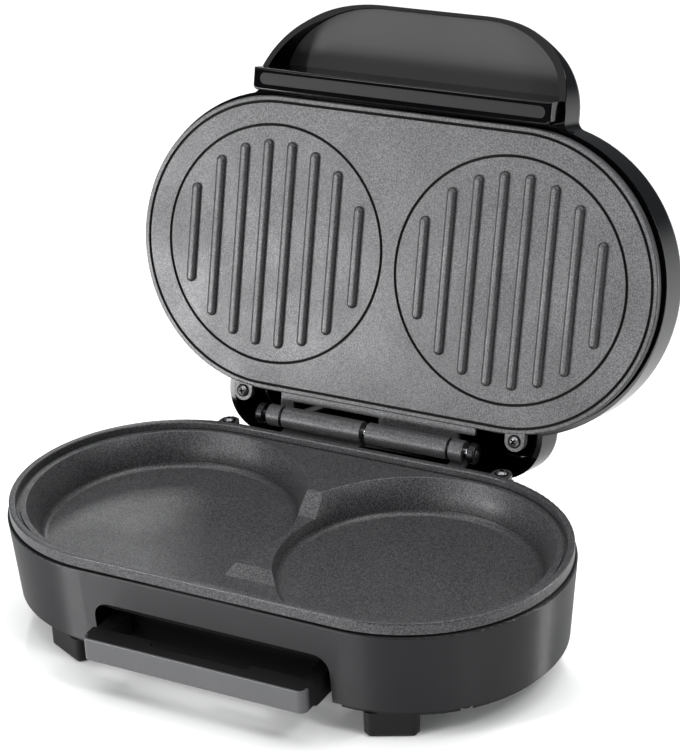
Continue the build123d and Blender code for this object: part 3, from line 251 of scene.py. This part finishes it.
def plated(name, code, rough_low, rough_high):
    """Bare or plated metal: bright, with a faint clouding that dulls its darker spots."""
    material, tree, bsdf, place = start_material(name, {"Metallic": 1.0})
    cloud = add_node(tree, "ShaderNodeTexNoise", {
        "Vector": place, "Scale": per_metre(2.5), "Detail": 5.0, "Roughness": 0.6})
    bright = linear(code)
    clouds = tuple(c * 0.7 for c in bright[:3]) + (1.0,)
    clouded(tree, bsdf, cloud.outputs[0], (clouds, bright), (rough_high, rough_low))
    return material


coating = cast_nonstick("cast_nonstick_coating")
grooved_coating = groove_shade_painted()
gunmetal = lacquer_and_recess_shade()
# the lid's mirror gloss, black even where it faces the light
gloss_black = moulded("gloss_black_abs", ("#020203", "#040405"), (0.06, 0.11), 6.0, 0.02,
                      {"IOR": 1.45, "Specular IOR Level": 0.15})
# the handle's inset: an even grey that takes no highlight
panel_satin = moulded("satin_grey_abs", ("#2e2e2f", "#343435"), (0.5, 0.58), 0.7, 0.03,
                      {"IOR": 1.5, "Specular IOR Level": 0.3})
# the ledge's band: a shade lighter than the gloss round it
band_satin = moulded("satin_black_abs", ("#0b0b0c", "#0f0f10"), (0.36, 0.42), 0.7, 0.02,
                     {"IOR": 1.5, "Specular IOR Level": 0.16})
# the grip bar's front: grey with a soft metal sheen
trim_satin = moulded("satin_grey_trim", ("#464648", "#4c4c4e"), (0.34, 0.42), 0.8, 0.02,
                     {"IOR": 1.5, "Metallic": 0.25})
# a spark-eroded grain that keeps the bar, cover and feet dull
matt_black = moulded("textured_black_abs", ("#070708", "#0b0b0c"), (0.5, 0.62), 0.9, 0.06,
                     {"IOR": 1.5, "Specular IOR Level": 0.25})
# painted shade for the screws' crosses and flanges, so that they read as black
painted_screw_shade = moulded("screw_recess_painted_shade", ("#030302", "#080706"), (0.6, 0.8), 0.6, 0.05,
                       {"IOR": 1.45, "Specular IOR Level": 0.1})
# pads and bush: dead matt, a little greyer than the plastic
rubber = moulded("black_rubber", ("#0d0d0d", "#141414"), (0.7, 0.85), 0.8, 0.05, {"IOR": 1.5})
# unglazed white, warm beside the metal
ceramic = moulded("steatite_ceramic", ("#d8d4c6", "#e4e0d4"), (0.35, 0.5), 1.2, 0.05,
                  {"IOR": 1.6})
# the lenses: deep red, half clear
lens = moulded("red_acrylic_lens", ("#9c0d0a", "#b0120e"), (0.06, 0.12), 3.0, 0.02,
               {"IOR": 1.49, "Transmission Weight": 0.35})
# the lamps behind them: clear glass, barely seen
bulb = moulded("lamp_glass", ("#d8dcdc", "#e4e8e8"), (0.05, 0.1), 3.0, 0.01,
               {"IOR": 1.5, "Transmission Weight": 0.8})
# the inner screws: bright and cloudy
zinc = plated("zinc_plated_steel", "#c9c9c6", 0.22, 0.38)
# the hinge pin: the brightest metal, a glint at each end of the barrels
pin_steel = plated("bright_steel", "#d0d0d2", 0.15, 0.28)
# the screws that show: grey domes that catch a soft light beside the dark coat
black_zinc = plated("black_zinc_plated_steel", "#8c8c8e", 0.34, 0.44)
# the pin's clips: near-black, with a metal edge
black_oxide = plated("black_oxide_steel", "#2a2a2c", 0.3, 0.42)
# reflectors, clamps and thermostat: pale mill-finish sheet
bare_aluminium = plated("rolled_aluminium", "#b4b5b6", 0.3, 0.45)
# the elements: dull grey from heat
sheath = plated("heated_element_sheath", "#5d5f5a", 0.4, 0.55)

FINISHED_NODES = (
    (coating, ("lower_plate",)),
    (grooved_coating, ("upper_plate",)),
    (gunmetal, ("base_housing",)),
    (gloss_black, ("lid_housing", "handle_ledge")),
    (panel_satin, ("handle_panel",)),
    (band_satin, ("ledge_band",)),
    (trim_satin, ("grip_bar_trim",)),
    (matt_black, ("grip_bar", "bottom_cover", "feet", "lamp_holder")),
    (rubber, ("foot_pads", "cord_bush")),
    (pin_steel, ("hinge_pin",)),
    (black_oxide, ("pin_clips",)),
    (zinc, ("lower_plate_screws", "upper_plate_screws", "bottom_cover_screws", "grip_bar_screws",
            "lower_inner_screws", "upper_inner_screws", "lower_reflector_screws",
            "upper_reflector_screws")),
    (bare_aluminium, ("lower_reflector", "upper_reflector", "lower_element_clamps",
                      "upper_element_clamps", "thermostat")),
    (sheath, ("lower_element", "upper_element")),
    (ceramic, ("thermal_fuse", "terminal_block")),
    (lens, ("indicator_lenses",)),
    (bulb, ("indicator_lamps",)),
)
for finish, names in FINISHED_NODES:
    for name in names:
        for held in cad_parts[name].material_slots:
            held.material = finish

# ---------------------------------------------------------------- cross-head screws
SCREW_SIZES = {
    "Flange Radius": 3.25, "Flange Top Radius": 3.12, "Flange Height": 0.5,
    "Dome Radius": 2.6, "Dome Foot": 0.15, "Head Height": 1.78,
    "Cross Length": 3.7, "Cross Width": 1.3, "Cross Depth": 1.25,
    "Shank Radius": 1.475, "Shank Tip Radius": 1.18, "Shank Length": 8.9,
}
# the second finish is painted shade, put on every face of the cross and flange
SCREW_FINISHES = {"Finish": black_zinc, "Painted Shade": painted_screw_shade}
CROSS_FLOOR = 0.55                            # width of the cross at its floor, of that on top
CURVE_SLACK = 0.05                            # a face this far off the dome's curve gets the painted shade
CRISP_EDGE = radians(32)


def screw_tree():
    """Pan-head cross screws, one on each point: "facing" is its axis and "turn" its cross."""
    tree = bpy.data.node_groups.new("cross_screws", "GeometryNodeTree")
    tree.interface.new_socket("Points", in_out="INPUT", socket_type="NodeSocketGeometry")
    for label, size in SCREW_SIZES.items():
        socket = tree.interface.new_socket(label, in_out="INPUT", socket_type="NodeSocketFloat")
        socket.default_value = size * MM
    for label in SCREW_FINISHES:
        tree.interface.new_socket(label, in_out="INPUT", socket_type="NodeSocketMaterial")
    tree.interface.new_socket("Screws", in_out="OUTPUT", socket_type="NodeSocketGeometry")
    given = add_node(tree, "NodeGroupInput").outputs

    # the flange, its rim a little slanted
    flange = add_node(tree, "GeometryNodeMeshCone", {
        "Vertices": 48, "Radius Bottom": given["Flange Radius"],
        "Radius Top": given["Flange Top Radius"], "Depth": given["Flange Height"]})

    # the dome: a ball whose lower half is pressed flat inside the flange
    ball = add_node(tree, "GeometryNodeMeshUVSphere", {
        "Segments": 48, "Rings": 24, "Radius": 1.0})
    spot = add_node(tree, "GeometryNodeInputPosition").outputs[0]
    pressed = add_node(tree, "ShaderNodeVectorMath", {
        0: spot, 1: (-1, -1, 0)}, operation="MAXIMUM")
    dome_rise = add_node(tree, "ShaderNodeMath", {
        0: given["Head Height"], 1: given["Dome Foot"]}, operation="SUBTRACT")
    dome_size = add_node(tree, "ShaderNodeCombineXYZ", {
        "X": given["Dome Radius"], "Y": given["Dome Radius"], "Z": dome_rise.outputs[0]})
    dome_lift = add_node(tree, "ShaderNodeCombineXYZ", {"Z": given["Dome Foot"]})
    dome_spot = add_node(tree, "ShaderNodeVectorMath", {
        0: pressed.outputs[0], 1: dome_size.outputs[0], 2: dome_lift.outputs[0]},
        operation="MULTIPLY_ADD")
    dome = add_node(tree, "GeometryNodeSetPosition", {
        "Geometry": ball.outputs["Mesh"], "Position": dome_spot.outputs[0]})

    # the cross recess: two bars that narrow towards its floor are cut out of the dome
    cut = add_node(tree, "GeometryNodeMeshBoolean", {
        "Mesh 1": dome.outputs[0], "Self Intersection": True},
        operation="DIFFERENCE", solver="EXACT")
    height = add_node(tree, "ShaderNodeSeparateXYZ", {0: spot})
    floor_z = add_node(tree, "ShaderNodeMath", {
        0: given["Cross Depth"], 1: -1.0}, operation="MULTIPLY")
    narrowing = add_node(tree, "ShaderNodeMapRange", {
        "Value": height.outputs["Z"], "From Min": floor_z.outputs[0], "From Max": 0.0,
        "To Min": CROSS_FLOOR, "To Max": 1.0})
    taper = add_node(tree, "ShaderNodeCombineXYZ", {
        "X": narrowing.outputs[0], "Y": narrowing.outputs[0], "Z": 1.0})
    head_top = add_node(tree, "ShaderNodeCombineXYZ", {"Z": given["Head Height"]})
    sink = add_node(tree, "ShaderNodeVectorMath", {
        0: spot, 1: taper.outputs[0], 2: head_top.outputs[0]}, operation="MULTIPLY_ADD")
    bar_height = add_node(tree, "ShaderNodeMath", {
        0: given["Cross Depth"], 1: 2.0}, operation="MULTIPLY")
    for long_x, long_y in (("Cross Length", "Cross Width"), ("Cross Width", "Cross Length")):
        bar_size = add_node(tree, "ShaderNodeCombineXYZ", {
            "X": given[long_x], "Y": given[long_y], "Z": bar_height.outputs[0]})
        bar = add_node(tree, "GeometryNodeMeshCube", {"Size": bar_size.outputs[0]})
        tapered = add_node(tree, "GeometryNodeSetPosition", {
            "Geometry": bar.outputs["Mesh"], "Position": sink.outputs[0]})
        tree.links.new(tapered.outputs[0], cut.inputs["Mesh 2"])

    # the shank, a little narrower at its tip
    shank = add_node(tree, "GeometryNodeMeshCone", {
        "Vertices": 32, "Radius Bottom": given["Shank Tip Radius"],
        "Radius Top": given["Shank Radius"], "Depth": given["Shank Length"]})
    drop = add_node(tree, "ShaderNodeMath", {
        0: given["Shank Length"], 1: -1.0}, operation="MULTIPLY")
    below = add_node(tree, "ShaderNodeCombineXYZ", {"Z": drop.outputs[0]})
    lowered = add_node(tree, "GeometryNodeTransform", {
        "Geometry": shank.outputs["Mesh"], "Translation": below.outputs[0]})
    screw = add_node(tree, "GeometryNodeJoinGeometry", {0: cut.outputs[0]})
    tree.links.new(flange.outputs["Mesh"], screw.inputs[0])
    tree.links.new(lowered.outputs[0], screw.inputs[0])

    # painted shade goes in the cross and on the flange: every face that isn't on the dome's curve
    from_foot = add_node(tree, "ShaderNodeVectorMath", {
        0: spot, 1: dome_lift.outputs[0]}, operation="SUBTRACT")
    shares = add_node(tree, "ShaderNodeVectorMath", {
        0: from_foot.outputs[0], 1: dome_size.outputs[0]}, operation="DIVIDE")
    share = add_node(tree, "ShaderNodeVectorMath", {0: shares.outputs[0]}, operation="LENGTH")
    off_curve = add_node(tree, "FunctionNodeCompare", {
        0: share.outputs["Value"], 1: 1.0, "Epsilon": CURVE_SLACK}, operation="NOT_EQUAL")
    painted_shade = add_node(tree, "GeometryNodeStoreNamedAttribute", {
        "Geometry": screw.outputs[0], "Name": "painted_shade", "Value": off_curve.outputs[0]},
        data_type="BOOLEAN", domain="FACE")

    # smooth curves, with every sharp bend kept crisp
    smooth = add_node(tree, "GeometryNodeSetShadeSmooth", {
        "Geometry": painted_shade.outputs[0], "Shade Smooth": True})
    bend = add_node(tree, "GeometryNodeInputMeshEdgeAngle")
    crisp = add_node(tree, "FunctionNodeCompare", {
        0: bend.outputs["Unsigned Angle"], 1: CRISP_EDGE}, operation="GREATER_THAN")
    edged = add_node(tree, "GeometryNodeSetShadeSmooth", {
        "Geometry": smooth.outputs[0], "Selection": crisp.outputs[0], "Shade Smooth": False},
        domain="EDGE")

    # one on each point, aimed and turned
    facing = add_node(tree, "GeometryNodeInputNamedAttribute", {
        "Name": "facing"}, data_type="FLOAT_VECTOR")
    turn = add_node(tree, "GeometryNodeInputNamedAttribute", {"Name": "turn"}, data_type="FLOAT")
    aimed = add_node(tree, "FunctionNodeAlignRotationToVector", {
        "Vector": facing.outputs[0]}, axis="Z")
    spin = add_node(tree, "FunctionNodeAxisAngleToRotation", {
        "Axis": (0, 0, 1), "Angle": turn.outputs[0]})
    turned = add_node(tree, "FunctionNodeRotateRotation", {
        "Rotation": aimed.outputs[0], "Rotate By": spin.outputs[0]}, rotation_space="LOCAL")
    placed = add_node(tree, "GeometryNodeInstanceOnPoints", {
        "Points": given["Points"], "Instance": edged.outputs[0], "Rotation": turned.outputs[0]})
    real = add_node(tree, "GeometryNodeRealizeInstances", {0: placed.outputs[0]})
    plain = add_node(tree, "GeometryNodeSetMaterial", {
        0: real.outputs[0], "Material": given["Finish"]})
    shade_faces = add_node(tree, "GeometryNodeInputNamedAttribute", {
        "Name": "painted_shade"}, data_type="BOOLEAN")
    # the faces off the dome's curve get the painted shade, standing in for shadow in the cross
    # and round the flange
    finished = add_node(tree, "GeometryNodeSetMaterial", {
        0: plain.outputs[0], "Selection": shade_faces.outputs[0], "Material": given["Painted Shade"]})
    add_node(tree, "NodeGroupOutput", {0: finished.outputs[0]})
    return tree


def seated_screws(name, seats, facing, turns, body, node):
    """The screws of one body, standing on their seats in place of the plain ones, each cross
    turned by its own number of degrees."""
    seeds = bpy.data.meshes.new(name + "_seats")
    seeds.from_pydata([tuple(seat) for seat in seats], [], [])
    aims = seeds.attributes.new("facing", "FLOAT_VECTOR", "POINT")
    aims.data.foreach_set("vector", [part for _ in seats for part in facing])
    crosses = seeds.attributes.new("turn", "FLOAT", "POINT")
    crosses.data.foreach_set("value", [radians(turn) for turn in turns])
    holder = bpy.data.objects.new(name + "_seats", seeds)
    bpy.context.scene.collection.objects.link(holder)
    growth = holder.modifiers.new("cross_screws", "NODES")
    growth.node_group = cross_screws
    for socket in cross_screws.interface.items_tree:
        if socket.name in SCREW_SIZES:
            growth[socket.identifier] = SCREW_SIZES[socket.name] * MM
        if socket.name in SCREW_FINISHES:
            growth[socket.identifier] = SCREW_FINISHES[socket.name]
    evaluated = holder.evaluated_get(bpy.context.evaluated_depsgraph_get())
    mesh = bpy.data.meshes.new_from_object(evaluated)
    mesh.name = name
    holder.modifiers.remove(growth)
    bpy.data.objects.remove(holder)
    piece = bpy.data.objects.new(name, mesh)
    bpy.context.scene.collection.objects.link(piece)
    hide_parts(node)
    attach(piece, body)


cross_screws = screw_tree()
UP = Vector((0, 0, 1))
SIDES = (-1, 1)
PLATE_SCREW_X = 73.2
DECK_SCREW_BACK, DECK_SCREW_Z = 76.8, -1.9    # from the middle of the base, off its rim
LID_SCREW_UP, LID_SCREW_OUT = 7.2, -8.1       # from the hinge's axis, along the lid
COVER_SCREW_X, COVER_SCREW_Y, COVER_SCREW_Z = 110.06, 45.86, -45.9
deck_seats = [DECK + Vector((side * PLATE_SCREW_X, DECK_SCREW_BACK, DECK_SCREW_Z)) * MM
              for side in SIDES]
lid_seats = [LID_PLACE @ (Vector((side * PLATE_SCREW_X, LID_SCREW_UP, LID_SCREW_OUT)) * MM)
             for side in SIDES]
cover_seats = [DECK + Vector((x * COVER_SCREW_X, y * COVER_SCREW_Y, COVER_SCREW_Z)) * MM
               for x in SIDES for y in SIDES]
seated_screws("deck_screws", deck_seats, UP, (25, 62), "base", "lower_plate_screws")
seated_screws("lid_screws", lid_seats, lid_out, (12, 50), "lid", "upper_plate_screws")
seated_screws("cover_screws", cover_seats, -UP, (0, 33, 71, 18), "base", "bottom_cover_screws")

# ---------------------------------------------------------------- floor, light and camera
FLOOR_HALF = 6.0
floor_mesh = bpy.data.meshes.new("floor")
floor_mesh.from_pydata([(x * FLOOR_HALF, y * FLOOR_HALF, 0)
                        for x, y in ((-1, -1), (1, -1), (1, 1), (-1, 1))], [], [(0, 1, 2, 3)])
floor = bpy.data.objects.new("floor", floor_mesh)
bpy.context.scene.collection.objects.link(floor)
floor_mesh.materials.append(start_material(
    "pale_sheet", {"Base Color": linear("#ffffff"), "Roughness": 0.16, "IOR": 1.5})[0])

world = bpy.data.worlds.new("studio")
bpy.context.scene.world = world
world.use_nodes = True
sky = world.node_tree.nodes["Background"]
sky.inputs["Color"].default_value = (0.9, 0.95, 1.0, 1.0)
sky.inputs["Strength"].default_value = 0.15

MIDDLE = (0, 0, 0.1)
OVERHEAD, RIGHT_CORNER = (0.2, 0.4, 0), (0.12, -0.05, 0.02)
# soft rectangular lights: name, place and aim in metres, width, height, watts
SOFTBOXES = (
    ("top_soft", (0.2, 0.4, 1.9), OVERHEAD, 2.6, 2.6, 55),
    ("key_left", (-0.82, -1.02, 0.13), MIDDLE, 0.3, 0.22, 12),
    ("front_fill", (-0.3, -1.45, 0.22), MIDDLE, 0.5, 0.25, 7),
    ("high_left", (-0.69, -1.1, 1.03), MIDDLE, 0.12, 0.9, 9),
    ("back_sheen", (-0.75, 1.35, 0.85), MIDDLE, 0.7, 0.3, 5),
    ("high_right", (1.0, -0.35, 1.2), MIDDLE, 0.2, 0.3, 5),
    ("back_right", (0.72, 1.3, 0.8), MIDDLE, 0.12, 0.4, 1.5),
    ("edge_right", (0.9, 0.42, 0.12), RIGHT_CORNER, 0.14, 0.2, 5),
)
for name, place, aim, width, height, power in SOFTBOXES:
    lamp = bpy.data.lights.new(name, "AREA")
    lamp.shape = "RECTANGLE"
    lamp.size, lamp.size_y, lamp.energy = width, height, power
    light = bpy.data.objects.new(name, lamp)
    bpy.context.scene.collection.objects.link(light)
    light.location = place
    light.rotation_mode = "QUATERNION"
    light.rotation_quaternion = (Vector(place) - Vector(aim)).to_track_quat("Z", "Y")

AZIMUTH, ELEVATION, ROLL = radians(28.54), radians(24.88), radians(-2.49)
TARGET = Vector((7.48, 3.29, 109.54)) * MM
DISTANCE = 1.07274
forward = Vector((-sin(AZIMUTH) * cos(ELEVATION), cos(AZIMUTH) * cos(ELEVATION),
                  -sin(ELEVATION)))
level = Vector((cos(AZIMUTH), sin(AZIMUTH), 0))
upright = level.cross(forward)
right = level * cos(ROLL) + upright * sin(ROLL)
up = upright * cos(ROLL) - level * sin(ROLL)
camera_data = bpy.data.cameras.new("camera")
camera_data.sensor_width = 36.0
camera_data.lens = 111.63
camera_data.clip_end = 20.0
camera = bpy.data.objects.new("camera", camera_data)
bpy.context.scene.collection.objects.link(camera)
camera.matrix_world = Matrix((
    (right.x, up.x, -forward.x, 0), (right.y, up.y, -forward.y, 0),
    (right.z, up.z, -forward.z, 0), (0, 0, 0, 1)))
camera.location = TARGET - forward * DISTANCE
bpy.context.scene.camera = camera
bpy.context.scene.view_settings.view_transform = "Standard"
